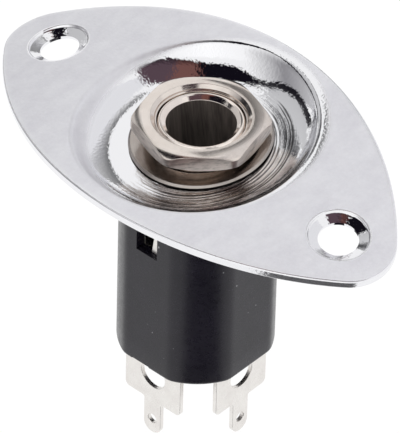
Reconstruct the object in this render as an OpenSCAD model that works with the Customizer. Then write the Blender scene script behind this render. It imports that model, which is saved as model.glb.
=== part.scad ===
// Curved oval jack plate with an enclosed barrel jack.
// +Z leaves the guitar, +X runs along the plate, and the origin is the middle of the plate's back.

/* [Plate] */
// Length of the plate, measured along its bend
plate_len = 48.6; // [44:0.2:54]
// Width across the middle
plate_w = 25.6; // [25:0.1:28]
// Radius of the two pointed ends
tip_r = 4.5; // [3:0.5:6]
// Radius that the plate is bent to along its length
bend_r = 100; // [80:5:400]
// Thickness of the sheet
sheet_t = 0.9; // [0.8:0.05:0.95]
// Rounding of the upper edge
edge_r = 0.3; // [0.1:0.05:0.35]

/* [Dish] */
// Depth of the dish below the crown of the plate
dish_depth = 2.5; // [2.4:0.1:3.2]
// Radius of the flat floor
floor_r = 7.4; // [7.3:0.1:8]
// Radius where the dish leaves the plate
rim_r = 11.6; // [11.4:0.1:12]
// Rounding at the rim
rim_fillet = 1.1; // [1.05:0.05:1.4]
// Steepest slope of the dish wall, in degrees
wall_angle = 55; // [50:1:60]
// Hole for the jack
jack_hole_d = 10; // [9.8:0.1:10.4]

/* [Screw holes] */
// Distance between the two holes, along the bend
hole_pitch = 37.5; // [36:0.5:39]
// Diameter of each hole
hole_d = 3.7; // [3:0.1:4]
// Diameter of the countersink
sink_d = 5.6; // [5:0.1:6]
// Depth of the countersink
sink_depth = 0.7; // [0.5:0.05:0.7]

/* [Jack] */
// How far the loose jack leans in its hole, in degrees
lean = 6.5; // [0:0.5:6.5]
// Direction of the lean, in degrees from +X
lean_dir = 75; // [60:5:90]
// Bore for a quarter-inch plug
bore_d = 6.4; // [6.35:0.05:6.5]
// Outside diameter of the thread
thread_d = 8.9; // [8.6:0.1:8.9]
// Length from the mouth to the shoulder
neck_len = 4.22; // [4.22:0.02:5]
// Length from the mouth to the lower end of the housing
jack_len = 25.6; // [24:0.2:28]
// Diameter of the housing
housing_d = 14.6; // [14:0.1:15]
// Width across the four flats of the housing
flats_w = 13.5; // [13.2:0.1:13.8]
// Turn of the flats from the plate's axes, in degrees
flats_turn = 5; // [0:1:10]

/* [Nut and washer] */
// Width across the flats of the nut
nut_af = 11.3; // [11:0.1:11.4]
// Thickness of the nut
nut_t = 1.85; // [1.6:0.05:1.85]
// Height of the nut's outer face above the mouth
nut_proud = 0.5; // [0.5:0.05:0.7]
// Turn of the nut, in degrees
nut_turn = -13; // [-30:1:30]
// Outside diameter of the washer
washer_d = 13.2; // [12.8:0.1:13.6]
// Thickness of the washer
washer_t = 0.4; // [0.3:0.05:0.4]

/* [Terminals] */
// Thickness of the contact strip
strip_t = 0.45; // [0.3:0.05:0.45]
// Width of each blade
blade_w = 6.8; // [6:0.1:6.8]
// Depth of the blade's lower edge below the mouth
blade_end = 30.2; // [29:0.1:31]
// Depth of the lug's tip below the mouth
lug_end = 34.1; // [33:0.1:36]
// Width of the solder lug
lug_w = 2.05; // [1.8:0.05:2.4]

/* [Hidden] */
$fn = 96;
eps = 0.01;

// Points along each tip and along each side of the plate's outline
tip_steps = 14;
side_steps = 36;
// Rings over the floor curve and over the rim curve of the dish
floor_steps = 4;
rim_steps = 4;
under_r = 0.15;
crown_z = sheet_t;
floor_z = crown_z - dish_depth;
tip_x = plate_len / 2 - tip_r;
side_r = (plate_w * plate_w / 4 + tip_x * tip_x - tip_r * tip_r) / (plate_w - 2 * tip_r);
side_y = side_r - plate_w / 2;
tip_span = atan2(side_y, tip_x);

// The curve between wall and floor takes up what the slope and the rim leave of the run
floor_fillet = (rim_r - floor_r - dish_depth / tan(wall_angle)) / tan(wall_angle / 2) - rim_fillet;
wall_top_r = rim_r - rim_fillet * sin(wall_angle);
wall_low_r = floor_r + floor_fillet * sin(wall_angle);

// Where the mouth of the jack stands, and where the washer lies
mouth = [0.19, 0.65, crown_z];
washer_at = [0.1, 0.6, floor_z];
washer_hole_d = thread_d + 0.8;

// The mouth of the jack, and the nut's lip, dome and turned corners
mouth_lead = 0.42;
mouth_lead_depth = 0.45;
thread_chamfer = 0.6;
lip_r = thread_d / 2 - 0.4;
lip_gap = 0.04;
crown_r = thread_d / 2 + 0.15;
dome_r = 3;
dome_steps = 4;
corner_break = 0.11;

// Jack sizes below the shoulder
flange_d = 12.4;
flange_t = 1;
cavity_top = neck_len + 3.7;
tube_end = cavity_top + 0.2;
wall_t = 1;
floor_web = 1.2;
cavity_d = housing_d - 2.2;
strip_x = flats_w / 2 - wall_t;
end_hole_d = 7.4;
housing_chamfer = 0.3;

// Latch windows, and the spring tongue of each strip that catches in them
window_w = 2.5;
window_low = 11.9;
window_high = 8.9;
window_y = -0.2;
tongue_w = 1.1;
tongue_y = 0.45;
tongue_out = 0.45;
notch_w = 2.2;
notch_h = 0.35;
notch_y = -0.8;
strip_w = 4.6;
strip_top = 8.9;
blade_corner = 0.5;
blade_hole_d = 2.9;
blade_hole_at = 27.1;
lug_hole_d = 1;
lug_hole_at = 32.45;
tip_turn = flats_turn;
sleeve_turn = flats_turn - 90;

chrome = [0.80, 0.80, 0.83];
nickel = [0.80, 0.76, 0.71];
plastic = [0.13, 0.13, 0.14];
contact_metal = [0.86, 0.84, 0.82];

// Outline of the plate laid flat: each entry is [along, across, normal along, normal across]
function arc_point(cx, cy, r, a) = [cx + r * cos(a), cy + r * sin(a), cos(a), sin(a)];
function side_angle(i) = tip_span + (180 - 2 * tip_span) * i / side_steps;
function tip_angle(i) = -tip_span + 2 * tip_span * i / tip_steps;
outline = concat(
    [for (i = [0:tip_steps - 1]) arc_point(tip_x, 0, tip_r, tip_angle(i))],
    [for (i = [0:side_steps - 1]) arc_point(0, -side_y, side_r, side_angle(i))],
    [for (i = [0:tip_steps - 1]) arc_point(-tip_x, 0, tip_r, 180 + tip_angle(i))],
    [for (i = [0:side_steps - 1]) arc_point(0, side_y, side_r, 180 + side_angle(i))]
);
sides = len(outline);

// How far the dish has sunk at radius r, from 0 at the rim to 1 on the floor
function rim_drop(r) = rim_fillet - sqrt(rim_fillet * rim_fillet - (rim_r - r) * (rim_r - r));
function floor_rise(r) = floor_fillet - sqrt(floor_fillet * floor_fillet - (r - floor_r) * (r - floor_r));
function sunk(r) =
    r >= rim_r ? 0 :
    r >= wall_top_r ? rim_drop(r) / dish_depth :
    r >= wall_low_r ? (rim_drop(wall_top_r) + (wall_top_r - r) * tan(wall_angle)) / dish_depth :
    r >= floor_r ? 1 - floor_rise(r) / dish_depth : 1;

// A point at distance n above the bent sheet, and the pressed sheet's own outer face
function bend_angle(u) = u / bend_r * 180 / PI;
function bent(u, v, n) = [(bend_r + n) * sin(bend_angle(u)), v,
                          (bend_r + n) * cos(bend_angle(u)) - bend_r + crown_z];
function pressed(u, v) =
    let (p = bent(u, v, 0), s = sunk(norm([u, v])))
    [p[0], p[1], p[2] + s * (floor_z - p[2])];
function face_normal(u, v) =
    let (n = cross(pressed(u + eps, v) - pressed(u - eps, v), pressed(u, v + eps) - pressed(u, v - eps)))
    n / norm(n);
function under(u, v) = pressed(u, v) - sheet_t * face_normal(u, v);

dish_radii = concat(
    [jack_hole_d / 2 - 0.6, floor_r],
    [for (i = [1:floor_steps]) floor_r + floor_fillet * sin(wall_angle * i / floor_steps)],
    [for (i = [rim_steps:-1:0]) rim_r - rim_fillet * sin(wall_angle * i / rim_steps)]
);
outer_shares = [0.35, 0.7];
function on_circle(p, r) = let (a = atan2(p[1], p[0])) [r * cos(a), r * sin(a)];
function inset(p, d) = [p[0] - d * p[2], p[1] - d * p[3]];
function between(p, share) = on_circle(p, rim_r) * (1 - share) + inset(p, edge_r) * share;
flat_rings = concat(
    [for (r = dish_radii) [for (p = outline) on_circle(p, r)]],
    [for (s = outer_shares) [for (p = outline) between(p, s)]]
);
function edge_ring(d, n) = [for (p = outline) let (q = inset(p, d)) bent(q[0], q[1], n)];
sheet_rings = concat(
    [for (ring = flat_rings) [for (q = ring) pressed(q[0], q[1])]],
    [edge_ring(edge_r, 0), edge_ring(edge_r * (1 - sin(45)), -edge_r * (1 - cos(45)))],
    [edge_ring(0, -edge_r), edge_ring(0, under_r - sheet_t), edge_ring(under_r, -sheet_t)],
    [for (k = [len(flat_rings) - 1:-1:0]) [for (q = flat_rings[k]) under(q[0], q[1])]]
);
ring_count = len(sheet_rings);
function spot(k, i) = (k % ring_count) * sides + i % sides;

module pressed_sheet() {
    points = [for (ring = sheet_rings) for (p = ring) p];
    faces = [for (k = [0:ring_count - 1]) for (i = [0:sides - 1]) for (half = [0, 1])
        half == 0 ? [spot(k, i), spot(k, i + 1), spot(k + 1, i + 1)]
                  : [spot(k, i), spot(k + 1, i + 1), spot(k + 1, i)]];
    polyhedron(points, faces, convexity = 6);
}

// Countersunk hole, square to the bent sheet
module screw_cut(along) {
    slope = (sink_d - hole_d) / 2 / sink_depth;
    translate(bent(along, 0, 0)) rotate([0, bend_angle(along), 0]) {
        translate([0, 0, -2]) cylinder(h = 3, d = hole_d);
        translate([0, 0, -sink_depth])
            cylinder(h = sink_depth + 0.2, r1 = hole_d / 2, r2 = sink_d / 2 + 0.2 * slope);
    }
}

module jack_plate() {
    color(chrome) difference() {
        pressed_sheet();
        translate([0, 0, floor_z - 2]) cylinder(h = 4, d = jack_hole_d);
        screw_cut(hole_pitch / 2);
        screw_cut(-hole_pitch / 2);
    }
}

// Places a piece on the jack's own axis, with its mouth at height 0
module on_jack() {
    translate(mouth) rotate([0, 0, lean_dir]) rotate([0, lean, 0]) rotate([0, 0, -lean_dir]) children();
}

module flat_washer() {
    break_r = 0.1;
    profile = [
        [washer_hole_d / 2, 0], [washer_d / 2 - break_r, 0], [washer_d / 2, break_r],
        [washer_d / 2, washer_t - break_r], [washer_d / 2 - break_r, washer_t],
        [washer_hole_d / 2, washer_t]
    ];
    color(nickel) translate(washer_at) rotate_extrude() polygon(profile);
}

// Hexagon from a round blank: domed above, chamfered below, with the lip of its thread over the mouth
module hex_nut() {
    thread_r = thread_d / 2;
    corner_r = nut_af / sqrt(3);
    blank_r = corner_r - corner_break;
    face_r = nut_af / 2 - 0.2;
    lead = 0.15;
    mouth_at = nut_t - nut_proud;
    swing = asin((blank_r - crown_r) / dome_r);
    dome = [
        for (i = [dome_steps:-1:0])
            let (a = swing * i / dome_steps)
            [crown_r + dome_r * sin(a), nut_t - dome_r * (1 - cos(a))]
    ];
    blank = concat([[0, 0], [face_r, 0], [blank_r, (blank_r - face_r) * tan(30)]], dome, [[0, nut_t]]);
    hole = [
        [0, -1], [thread_r + lead, -1], [thread_r + lead, 0], [thread_r, lead],
        [thread_r, mouth_at - thread_chamfer + lip_gap], [lip_r, mouth_at - 2 * lip_gap],
        [lip_r, mouth_at], [lip_r + nut_proud, nut_t], [lip_r + nut_proud, nut_t + 1], [0, nut_t + 1]
    ];
    color(nickel) on_jack() translate([0, 0, nut_proud - nut_t]) rotate([0, 0, nut_turn]) difference() {
        intersection() {
            cylinder(h = nut_t, r = corner_r, $fn = 6);
            rotate_extrude() polygon(blank);
        }
        rotate_extrude() polygon(hole);
    }
}

// Turned tube: threaded neck, clamping flange and the tail that is pressed into the housing
module threaded_bushing() {
    bore_r = bore_d / 2;
    thread_r = thread_d / 2;
    profile = [
        [bore_r, -tube_end], [thread_r, -tube_end], [thread_r, -neck_len - flange_t],
        [flange_d / 2, -neck_len - flange_t], [flange_d / 2, -neck_len], [thread_r, -neck_len],
        [thread_r, -thread_chamfer], [thread_r - thread_chamfer, 0],
        [bore_r + mouth_lead, 0], [bore_r, -mouth_lead_depth]
    ];
    color(nickel) on_jack() rotate_extrude() polygon(profile);
}

// Turns a piece to one flat of the housing: +X leaves the flat, Y runs across it, Z is along the jack
module at_flat(turn) {
    on_jack() rotate([0, 0, turn]) children();
}

module housing_body() {
    r = housing_d / 2;
    c = housing_chamfer;
    profile = [
        [0, -jack_len], [r - c, -jack_len], [r, -jack_len + c], [r, -neck_len - c],
        [r - c, -neck_len], [0, -neck_len]
    ];
    rotate([0, 0, flats_turn]) intersection() {
        rotate_extrude() polygon(profile);
        translate([0, 0, -(jack_len + neck_len) / 2])
            cube([flats_w, flats_w, jack_len], center = true);
    }
}

module housing_cavity() {
    inner_w = flats_w - 2 * wall_t;
    inner_h = jack_len - floor_web - cavity_top;
    rotate([0, 0, flats_turn]) intersection() {
        translate([0, 0, -cavity_top - inner_h]) cylinder(h = inner_h, d = cavity_d);
        translate([0, 0, -cavity_top - inner_h / 2]) cube([inner_w, inner_w, inner_h], center = true);
    }
}

// Slot in the lower web and latch window for one strip
module strip_cuts() {
    slot_w = blade_w + 0.2;
    translate([strip_x - strip_t, -slot_w / 2, -jack_len - 1])
        cube([strip_t, slot_w, floor_web + 2]);
    translate([strip_x, window_y - window_w / 2, -window_low])
        cube([wall_t + 1, window_w, window_low - window_high]);
}

// Small gap in the lower edge, in front of the sleeve blade
module edge_notch() {
    translate([strip_x, notch_y - notch_w / 2, -jack_len - 1])
        cube([wall_t + 1, notch_w, notch_h + 1]);
}

module barrel_housing() {
    spring_slot_w = 3.4;
    color(plastic) difference() {
        on_jack() difference() {
            housing_body();
            housing_cavity();
            translate([0, 0, -neck_len - flange_t]) cylinder(h = flange_t + 1, d = flange_d);
            translate([0, 0, -cavity_top - 1]) cylinder(h = cavity_top, d = thread_d);
            translate([0, 0, -jack_len - 1]) cylinder(h = floor_web + 2, d = end_hole_d);
        }
        at_flat(tip_turn) strip_cuts();
        at_flat(sleeve_turn) strip_cuts();
        at_flat(sleeve_turn) edge_notch();
        at_flat(tip_turn) translate([0, -spring_slot_w / 2, -jack_len - 1])
            cube([strip_x - strip_t - 0.35, spring_slot_w, floor_web + 2]);
    }
}

// Flat pattern of a strip, across and along the jack
module blade_outline() {
    half = blade_w / 2;
    tip_half = lug_w / 2;
    broad_top = jack_len - floor_web - 0.5;
    polygon([
        [-half, -broad_top], [-half, -blade_end + blade_corner], [-half + blade_corner, -blade_end],
        [-tip_half, -blade_end], [-tip_half, -lug_end + tip_half], [tip_half, -lug_end + tip_half],
        [tip_half, -blade_end], [half - blade_corner, -blade_end], [half, -blade_end + blade_corner],
        [half, -broad_top], [strip_w / 2, -broad_top + 0.5], [strip_w / 2, -strip_top],
        [-strip_w / 2, -strip_top], [-strip_w / 2, -broad_top + 0.5]
    ]);
    translate([0, -lug_end + tip_half]) circle(d = lug_w);
}

// Stamped strip with solder lug, round hole and latch tongue
module contact_strip() {
    opening = [window_w + 0.3, window_low - strip_top + 0.1];
    stand = [strip_x - strip_t, 0, 0];
    translate(stand) rotate([90, 0, 90]) linear_extrude(strip_t) difference() {
        blade_outline();
        translate([0, -blade_hole_at]) circle(d = blade_hole_d);
        translate([0, -lug_hole_at]) circle(d = lug_hole_d);
        translate([window_y - opening[0] / 2, -window_low - 0.2]) square([opening[0], opening[1] - 0.6]);
    }
    top = -strip_top - 0.65;
    low = -window_low + 0.05;
    translate([0, tongue_y + tongue_w / 2, 0]) rotate([90, 0, 0]) linear_extrude(tongue_w) polygon([
        [strip_x - strip_t, top], [strip_x, top], [strip_x + tongue_out, low],
        [strip_x + tongue_out - strip_t, low]
    ]);
}

// Sideways profile of a bent spring, swept across its width
module spring_profile(width, points) {
    translate([0, width / 2, 0]) rotate([90, 0, 0]) linear_extrude(width) polygon(points);
}

// The tip strip folds back over and runs down to a bent nose beside the plug's tip
module tip_contact() {
    t = strip_t;
    out_x = strip_x - t;
    arm_x = out_x - 0.45;
    fold_top = -strip_top + t;
    arm_w = 3;
    knee = -19;
    nose_x = 3;
    nose = -26.3;
    color(contact_metal) at_flat(tip_turn) {
        contact_strip();
        spring_profile(arm_w, [
            [strip_x, -strip_top - eps], [strip_x, fold_top], [arm_x - t, fold_top],
            [arm_x - t, knee], [nose_x - t, nose], [nose_x + 0.2 - t, nose - 1], [nose_x + 0.2, nose - 1],
            [nose_x, nose], [arm_x, knee], [arm_x, fold_top - t], [out_x, fold_top - t],
            [out_x, -strip_top - eps]
        ]);
    }
}

// The sleeve strip turns inwards and bears on the end of the bushing
module sleeve_contact() {
    tab_w = 3;
    tab_in = bore_d / 2 + 0.15;
    color(contact_metal) at_flat(sleeve_turn) {
        contact_strip();
        translate([tab_in, -tab_w / 2, -tube_end - strip_t])
            cube([strip_x - tab_in, tab_w, strip_t]);
        translate([strip_x - strip_t, -tab_w / 2, -strip_top - eps])
            cube([strip_t, tab_w, strip_top - tube_end]);
    }
}

jack_plate();
flat_washer();
hex_nut();
threaded_bushing();
barrel_housing();
tip_contact();
sleeve_contact();
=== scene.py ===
import math
from collections import namedtuple

import bmesh
import bpy
import numpy as np
from mathutils import Matrix, Vector
from mathutils.geometry import delaunay_2d_cdt


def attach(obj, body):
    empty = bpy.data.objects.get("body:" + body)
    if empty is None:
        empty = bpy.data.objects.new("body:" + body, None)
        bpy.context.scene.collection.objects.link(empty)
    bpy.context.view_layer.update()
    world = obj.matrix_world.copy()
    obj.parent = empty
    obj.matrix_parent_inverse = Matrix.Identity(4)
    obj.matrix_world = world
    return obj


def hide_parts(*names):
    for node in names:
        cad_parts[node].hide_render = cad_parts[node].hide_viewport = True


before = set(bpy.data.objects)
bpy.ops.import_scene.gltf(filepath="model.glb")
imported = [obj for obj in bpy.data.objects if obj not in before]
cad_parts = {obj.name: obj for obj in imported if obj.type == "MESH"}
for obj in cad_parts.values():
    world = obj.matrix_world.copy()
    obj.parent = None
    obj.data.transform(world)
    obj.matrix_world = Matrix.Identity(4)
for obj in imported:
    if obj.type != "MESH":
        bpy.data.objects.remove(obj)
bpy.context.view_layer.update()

# Sizes are in millimetres, and meshes are made in metres
MM = 0.001

# Plate: the source's sizes, with an edge, a rim and countersinks as sharp as the photograph's
PLATE_LEN = 48.52
PLATE_W = 25.6
TIP_R = 4.5
BEND_R = 100.0
SHEET_T = 0.9
EDGE_R = 0.17
UNDER_R = 0.16
DISH_DEPTH = 2.5
FLOOR_R = 7.15
FLOOR_SHIFT = 0.3
FLOOR_SHIFT_DIR = math.radians(215)
RIM_R = 11.58
RIM_FILLET = 0.75
UNDER_RIM_FILLET = 1.15
WALL_ANGLE = math.radians(55)
JACK_HOLE_R = 5.0
HOLE_PITCH = 37.5
HOLE_R = 1.85
SINK_R = 2.8
SINK_DEPTH = 0.62
SINK_LIP = 0.02
SINK_STEP = 0.08
SEAT_SLOPE = math.tan(math.radians(26))
CROWN_Z = SHEET_T
FLOOR_Z = CROWN_Z - DISH_DEPTH
# Its finish: radii between which the bright dish and countersinks turn satin, the bright zone's
# middle, and the radii where the drawn rings and the painted dark reflection lines along them fade out
DISH_BRIGHT_R = (10.68, 11.3)
DISH_BRIGHT_AT = (0.6, 1.0)
SINK_BRIGHT_R = (2.86, 2.96)
RINGS_AND_PAINTED_LINES_R = (8.8, 9.6)

# Points of the plate's mesh: rings around each hole, a row along the edge and an even grid
DISH_RINGS = np.concatenate([[5.3, 5.7, 6.1, 6.5], np.arange(6.8, 11.75, 0.1), [11.9, 12.2, 12.6]])
SINK_RINGS = np.concatenate([np.arange(1.95, 2.5, 0.09), np.arange(2.55, 2.91, 0.022),
                             [2.97, 3.05, 3.2, 3.4, 3.7, 4.0, 4.3]])
RING_GAP = 0.15
EDGE_ROW = 0.45
GRID_STEP = 0.55
GRID_ROW = GRID_STEP * 0.866
GRID_REACH = (46, 26)
GRID_GAP = 0.35
# Its holes laid flat: place along it, radius, points around, the rings' radii, 1 if the first
# ring starts half a step on, and the radius where the grid takes over
Hole = namedtuple("Hole", "x radius steps rings half_step_first grid_from")
JACK_HOLE = Hole(0.0, JACK_HOLE_R, 288, DISH_RINGS, 1, 12.9)
SCREW_HOLES = [Hole(x, HOLE_R, 96, SINK_RINGS, 0, 4.55) for x in (-HOLE_PITCH / 2, HOLE_PITCH / 2)]
HOLES = [JACK_HOLE, *SCREW_HOLES]

# Jack: depths are from its mouth, along its own axis
LEAN = math.radians(6.5)
LEAN_DIR = math.radians(75)
MOUTH = Vector((0.19, 0.65, CROWN_Z))
BORE_R = 3.2
RING_R = 3.74
LEAD_R = 3.58
LEAD_TOP = -0.065
MOUTH_DEPTH = 0.32
THREAD_R = 4.45
THREAD_CHAMFER = 0.6
THREAD_PITCH = 0.75
THREAD_DEPTH = 0.38
THREAD_FLANK = 2.4
THREAD_RUN_OUT = (0.3, 0.5)
BUSHING_STEPS = 144
NECK_LEN = 4.22
JACK_LEN = 25.6
FLANGE_R = 6.2
FLANGE_T = 1.0
CAVITY_TOP = NECK_LEN + 3.7
TUBE_END = CAVITY_TOP + 0.2

# Housing
HOUSING_R = 7.3
HOUSING_STEPS = 360
HOUSING_TOP_ROUND = 0.3
HOUSING_END_ROUND = 0.42
FLATS_HALF = 6.75
FLATS_TURN = math.radians(5)
FLATS_BLEND = math.radians(5.5)
WALL_T = 1.0
CAVITY_R = FLANGE_R
END_HOLE_R = 3.7
END_WALL_T = 1.2
WINDOW_Y = (-1.45, 1.05)
WINDOW_Z = (-11.9, -8.9)
SLOT_HALF = 3.5
SLOT_H = 2.2
ARM_SLOT_HALF = 1.7
ARM_SLOT_GAP = 0.35
NOTCH_Y = (-1.9, 0.3)
NOTCH_H = 0.35
HOUSING_SHARP = math.radians(32)

# Nut and washer
NUT_AF = 11.3
NUT_T = 1.85
NUT_PROUD = 0.475
NUT_LOW = NUT_PROUD - NUT_T
NUT_TURN = math.radians(-13)
NUT_CORNER = 1.2
NUT_FACE_R = NUT_AF / 2 - 0.25
NUT_CHAMFER = 0.15
# Its inner wall's lower and upper end: radius and height
NUT_WALL = ((THREAD_R, NUT_LOW + NUT_CHAMFER), (THREAD_R + 0.02, -THREAD_CHAMFER + 0.04))
LIP_R = 4.06
CROWN_R = 4.7
DOME_R = 3.7
SHOULDER_R = 5.5
SHOULDER_ROUND = 1.9
WASHER_R = 6.65
WASHER_HOLE_R = THREAD_R + 0.4
WASHER_T = 0.4
WASHER_CHAMFER = 0.2
WASHER_STEPS = 192
WASHER_AT = (-0.05, 0.62, FLOOR_Z)
UNDERCUT = 0.3
UNDERCUT_TOP = 0.19

# Contacts
STRIP_X = FLATS_HALF - WALL_T
STRIP_T = 0.45
STRIP_TOP = -8.9
STRIP_HALF = 2.3
BLADE_HALF = 3.4
BLADE_TOP = -(JACK_LEN - END_WALL_T - 0.5)
BLADE_END = -30.2
BLADE_HOLE_R = 1.45
BLADE_HOLE_Z = -27.1
BLADE_BEVEL = 0.05
LUG_HALF = 1.025
LUG_END = -34.1
LUG_HOLE_R = 0.5
LUG_HOLE_Z = -32.45
TONGUE_Z = (-9.4, -11.85)
TONGUE_Y = 0.45
TONGUE_W = 1.1
TONGUE_OUT = 0.45
STRIP_SHARP = math.radians(13)
# The tip's spring arm and the sleeve's tab: where they lap the strip, and the arm's bends
ARM_W = 3.0
ARM_BEVEL = 0.06
ARM_LAP = -9.3
ARM_X = STRIP_X - STRIP_T - 0.45
ARM_BEND_Z = -19.0
ARM_KNEE = (3.0, -26.3)
ARM_TIP = (3.2, -27.3)
TAB_X = BORE_R + 0.15

# Camera, from the photograph's own perspective
CAM_X = Vector((0.67654, 0.73209, -0.07965))
CAM_Y = Vector((-0.46988, 0.51242, 0.71877))
CAM_Z = Vector((0.56702, -0.44885, 0.69067))
CAM_T = (-0.4858, 8.4018)
CAM_DISTANCE = 626.64
CAM_FOCAL_PX = 11.15 * CAM_DISTANCE
FRAME_H_PX = 433
SENSOR = 36.0
FLOOR_SIZE = 3.0
FLOOR_LEVEL = -0.085


# Mesh helpers

class Shell:
    """Collects patches with exact normals, then joins them into one mesh. Sizes are in millimetres."""

    def __init__(self):
        self.points, self.normals, self.faces, self.count = [], [], [], 0

    def add(self, points, normals, faces):
        points = np.asarray(points, float).reshape(-1, 3)
        normals = np.asarray(normals, float).reshape(-1, 3)
        length = np.linalg.norm(normals, axis=1, keepdims=True)
        self.points.append(points)
        self.normals.append(normals / np.maximum(length, 1e-9))
        self.faces.extend([tuple(int(i) + self.count for i in f) for f in faces])
        self.count += len(points)

    def grid(self, points, normals, close_rows=False, close_cols=False, flip=False):
        rows, cols = points.shape[:2]
        faces = []
        for i in range(rows if close_rows else rows - 1):
            a, b = i * cols, ((i + 1) % rows) * cols
            for j in range(cols if close_cols else cols - 1):
                k = (j + 1) % cols
                quad = (a + j, a + k, b + k, b + j)
                faces.append(quad[::-1] if flip else quad)
        self.add(points, normals, faces)

    def mesh(self, name):
        """Merges points that coincide, and drops faces that vanish with them."""
        points = np.concatenate(self.points)
        normals = np.concatenate(self.normals)
        key = np.round(points / 1e-4).astype(np.int64)
        _, first, back = np.unique(key, axis=0, return_index=True, return_inverse=True)
        back = back.ravel()
        faces, loop_normals = [], []
        for f in self.faces:
            kept = []
            for i in f:
                if not kept or back[i] != back[kept[-1]]:
                    kept.append(i)
            if len(kept) > 1 and back[kept[0]] == back[kept[-1]]:
                kept.pop()
            if len(kept) > 2 and len({int(back[i]) for i in kept}) == len(kept):
                faces.append([int(back[i]) for i in kept])
                loop_normals.extend(normals[kept])
        me = bpy.data.meshes.new(name)
        me.from_pydata((points[first] * MM).tolist(), [], faces)
        me.polygons.foreach_set("use_smooth", [True] * len(me.polygons))
        me.normals_split_custom_set([tuple(n) for n in loop_normals])
        me.update()
        return me


def new_object(name, data):
    ob = bpy.data.objects.new(name, data)
    bpy.context.scene.collection.objects.link(ob)
    return ob


def place(name, me, material):
    ob = new_object(name, me)
    me.materials.clear()
    me.materials.append(material)
    return ob


def vertices(me):
    """A mesh's vertices, in millimetres."""
    return np.array([tuple(v.co) for v in me.vertices]) / MM


def mark(me, name, values):
    """Gives every vertex a value that the materials read."""
    me.attributes.new(name, "FLOAT", "POINT").data.foreach_set("value", values)


def turns(steps):
    return np.linspace(0, 2 * np.pi, steps, endpoint=False)


def unit_circle(angles):
    return np.stack([np.cos(angles), np.sin(angles)], -1)


def circle(radius, steps, x=0.0, y=0.0, half_steps=0):
    return radius * unit_circle(turns(steps) + half_steps * math.pi / steps) + [x, y]


def at_height(xy, z):
    return np.column_stack([xy, np.full(len(xy), float(z))])


def about_z(angle):
    return Matrix.Rotation(angle, 4, "Z")


def rounded(corners, steps=4, closed=False):
    """Rounds a profile of corners (x, y, radius). Returns its points and the normal at each, right of travel."""
    pts = [Vector(c[:2]) for c in corners]
    out, normals = [], []
    count = len(pts)
    for i, p in enumerate(pts):
        r = corners[i][2]
        ends = not closed and i in (0, count - 1)
        before, after = pts[i - 1], pts[(i + 1) % count]
        d1 = (p - before).normalized() if not (ends and i == 0) else (after - p).normalized()
        d2 = (after - p).normalized() if not (ends and i == count - 1) else d1
        n1, n2 = Vector((d1.y, -d1.x)), Vector((d2.y, -d2.x))
        turn = d1.angle(d2, 0.0)
        if ends or r <= 0 or turn < 1e-4:
            out.append(p)
            normals.append(n1)
            if not ends and turn >= 1e-4:
                out.append(p)
                normals.append(n2)
            continue
        back = r * math.tan(turn / 2)
        side = 1 if d1.x * d2.y - d1.y * d2.x > 0 else -1
        start = p - d1 * back
        centre = start - n1 * side * r
        for k in range(steps + 1):
            a = side * turn * k / steps
            c, s = math.cos(a), math.sin(a)
            n = Vector((n1.x * c - n1.y * s, n1.x * s + n1.y * c))
            out.append(centre + n * side * r)
            normals.append(n)
    return np.array([tuple(p) for p in out]), np.array([tuple(n) for n in normals])


def lathe(shell, corners, steps):
    """Turns a profile of (radius, height, rounding) about Z."""
    prof, norm = rounded(corners)
    a = turns(steps)[None, :]
    c, s = np.cos(a), np.sin(a)
    p = np.stack([prof[:, :1] * c, prof[:, :1] * s, prof[:, 1:] + 0 * c], -1)
    n = np.stack([norm[:, :1] * c, norm[:, :1] * s, norm[:, 1:] + 0 * c], -1)
    shell.grid(p, n, close_cols=True)


def on_jack(me):
    """Takes a mesh from the jack's own axes, in metres, to the row's frame."""
    tilt = about_z(LEAN_DIR) @ Matrix.Rotation(LEAN, 4, "Y") @ about_z(-LEAN_DIR)
    me.transform(Matrix.Translation(MOUTH * MM) @ tilt)
    me.update()
    return me


def evaluated(ob):
    """The mesh that an object's curve or modifiers make."""
    deps = bpy.context.evaluated_depsgraph_get()
    deps.update()
    return bpy.data.meshes.new_from_object(ob.evaluated_get(deps))


def shade(ob, sharp_angle, weight):
    """Shades a piece smooth, apart from its sharp edges."""
    ob.data.polygons.foreach_set("use_smooth", [True] * len(ob.data.polygons))
    ob.data.set_sharp_from_angle(angle=sharp_angle)
    mod = ob.modifiers.new("even_normals", "WEIGHTED_NORMAL")
    mod.keep_sharp = True
    mod.weight = weight


# Plate

def bent(u, v, n):
    """The bent plate's surface: u along it, v across, n above."""
    a = u / BEND_R
    return np.stack([(BEND_R + n) * np.sin(a), v + 0 * a, (BEND_R + n) * np.cos(a) - BEND_R + CROWN_Z], -1)


def sunk(r, turn, rim_fillet):
    """How far the dish has sunk at radius r, from 0 at the rim to 1 on its floor."""
    wall_top_r = RIM_R - rim_fillet * math.sin(WALL_ANGLE)
    floor_r = FLOOR_R + FLOOR_SHIFT * np.cos(turn - FLOOR_SHIFT_DIR)
    fillet = (RIM_R - floor_r - DISH_DEPTH / math.tan(WALL_ANGLE)) / math.tan(WALL_ANGLE / 2) - rim_fillet
    wall_low_r = floor_r + fillet * math.sin(WALL_ANGLE)
    rim = rim_fillet - np.sqrt(np.maximum(rim_fillet ** 2 - np.clip(RIM_R - r, 0, rim_fillet) ** 2, 0))
    top = rim_fillet - math.sqrt(rim_fillet ** 2 - (RIM_R - wall_top_r) ** 2)
    wall = top + (wall_top_r - r) * math.tan(WALL_ANGLE)
    rise = fillet - np.sqrt(np.maximum(fillet ** 2 - np.clip(r - floor_r, 0, fillet) ** 2, 0))
    return np.select([r >= RIM_R, r >= wall_top_r, r >= wall_low_r, r >= floor_r],
                     [0 * r, rim / DISH_DEPTH, wall / DISH_DEPTH, 1 - rise / DISH_DEPTH], 1.0)


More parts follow.
